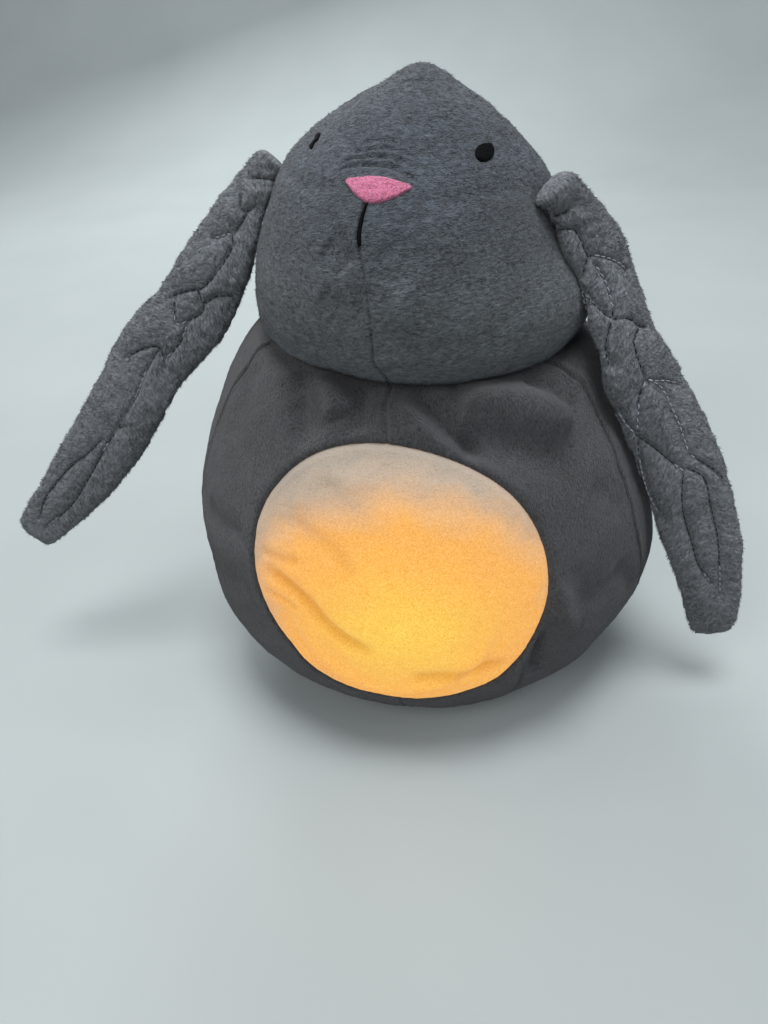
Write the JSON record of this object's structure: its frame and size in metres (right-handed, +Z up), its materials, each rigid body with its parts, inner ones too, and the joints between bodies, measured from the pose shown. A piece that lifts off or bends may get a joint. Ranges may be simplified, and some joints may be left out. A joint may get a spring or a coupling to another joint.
{
  "type": "plush night light",
  "caption": "Stuffed plush rabbit with hanging padded ears, an embroidered face and a belly patch that glows from a lamp inside, with a battery box and slide switch in its flat base.",
  "frame": {"origin": "middle of the flat base, on the surface that the toy stands on", "axes": "+Z up, the glowing patch faces -Y, +X to the viewer's right"},
  "size_m": [0.3177, 0.1839, 0.2496],
  "materials": {
    "head_plush": "short matt plush pile",
    "body_plush": "short matt plush pile, darker",
    "ear_plush": "longer quilted plush pile",
    "patch_plush": "cream plush that lets the lamp's light through",
    "filling": "loose polyester fibre",
    "pink_thread": "satin embroidery",
    "black_thread": "satin embroidery",
    "white_plastic": "moulded",
    "frosted_plastic": "frosted, translucent",
    "circuit_board": "solder mask",
    "led_resin": "clear warm resin",
    "resistor_body": "lacquered",
    "steel": "zinc plated",
    "nickel": "nickel plated",
    "cell_sleeve": "printed sleeve, left plain",
    "black_plastic": "moulded, fine texture",
    "red_wire": "insulated",
    "black_wire": "insulated"
  },
  "bodies": {
    "toy": {"battery_box": "black_plastic", "battery_cell_1": "cell_sleeve", "battery_cell_2": "cell_sleeve", "battery_cell_3": "cell_sleeve", "belly_patch": "patch_plush", "black_lead": "black_wire", "board_screw_1": "steel", "board_screw_2": "steel", "board_screw_3": "steel", "body_back_left_panel": "body_plush", "body_back_right_panel": "body_plush", "body_base_panel": "body_plush", "body_front_left_panel": "body_plush", "body_front_right_panel": "body_plush", "body_stuffing": "filling", "contact_bridge_left": "nickel", "contact_bridge_right": "nickel", "contact_negative": "nickel", "contact_positive": "nickel", "contact_spring_1": "nickel", "contact_spring_2": "nickel", "contact_spring_3": "nickel", "diffuser_dome": "frosted_plastic", "head_back_left_panel": "head_plush", "head_back_right_panel": "head_plush", "head_forehead_panel": "head_plush", "head_left_cheek_panel": "head_plush", "head_right_cheek_panel": "head_plush", "head_stuffing": "filling", "lamp_housing": "white_plastic", "lamp_ring": "white_plastic", "led_1": "led_resin", "led_2": "led_resin", "led_3": "led_resin", "led_4": "led_resin", "led_board": "circuit_board", "led_resistor": "resistor_body", "left_eye": "black_thread", "mouth_line": "black_thread", "nose": "pink_thread", "red_lead": "red_wire", "right_eye": "black_thread", "switch_body": "steel"},
    "left_ear": {"left_ear_front_panel": "ear_plush", "left_ear_back_panel": "ear_plush", "left_ear_wadding": "filling"},
    "right_ear": {"right_ear_front_panel": "ear_plush", "right_ear_back_panel": "ear_plush", "right_ear_wadding": "filling"},
    "battery_door": {"battery_door": "black_plastic", "door_screw": "steel"},
    "power_slider": {"power_slider": "black_plastic"}
  },
  "joints": [
    {"name": "left_ear_lift", "type": "hinge", "parent": "toy", "child": "left_ear", "pos_m": [-0.04734, -0.00773, 0.22252], "axis": [0, 1, 0], "range_deg": [0, 115]},
    {"name": "right_ear_lift", "type": "hinge", "parent": "toy", "child": "right_ear", "pos_m": [0.05325, -0.03074, 0.21458], "axis": [0, -1, 0], "range_deg": [0, 130]},
    {"name": "battery_door_hinge", "type": "hinge", "parent": "toy", "child": "battery_door", "pos_m": [0, 0.0409, 0.0023], "axis": [1, 0, 0], "range_deg": [0, 90]},
    {"name": "power_switch_slide", "type": "slide", "parent": "toy", "child": "power_slider", "axis": [0, 1, 0], "range_m": [0, 0.004]}
  ]
}
